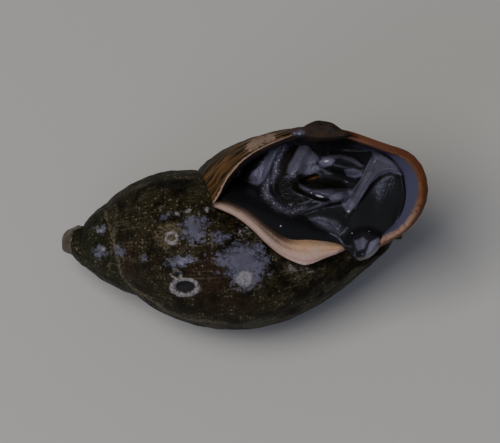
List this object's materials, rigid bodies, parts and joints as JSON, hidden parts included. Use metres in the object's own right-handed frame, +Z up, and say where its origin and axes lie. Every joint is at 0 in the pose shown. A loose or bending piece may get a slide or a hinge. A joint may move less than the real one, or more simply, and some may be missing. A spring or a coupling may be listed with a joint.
{
  "type": "radix labiata pond snail",
  "caption": "Life-size still of a pond snail on its back, its dark body drawn into the open mouth of a worn brown coiled shell.",
  "frame": {"origin": "middle of the bounding box at the floor, on which the back of the shell rests", "axes": "+X from the apex to the base of the shell, +Y away from the viewer towards the outer lip, +Z up"},
  "size_m": [0.0178, 0.009, 0.0108],
  "materials": {
    "shell": "worn dark olive-brown crust, satin",
    "outer_lip": "orange-brown thin shell edge, satin",
    "columellar_lip": "pinkish tan, smooth",
    "flesh": "wet black skin, glossy"
  },
  "bodies": {
    "root": {"shell_apex": "shell", "shell_first_whorls": "shell", "shell_spire_whorl": "shell", "shell_body_whorl": "shell", "shell_columella": "shell", "shell_last_whorl": "shell", "shell_outer_lip": "outer_lip", "shell_columellar_lip": "columellar_lip", "mantle": "flesh", "mantle_collar": "flesh", "mantle_edge": "flesh", "mantle_fold_top": "flesh", "mantle_fold_base": "flesh", "foot": "flesh", "head": "flesh", "tentacle": "flesh"}
  },
  "joints": []
}
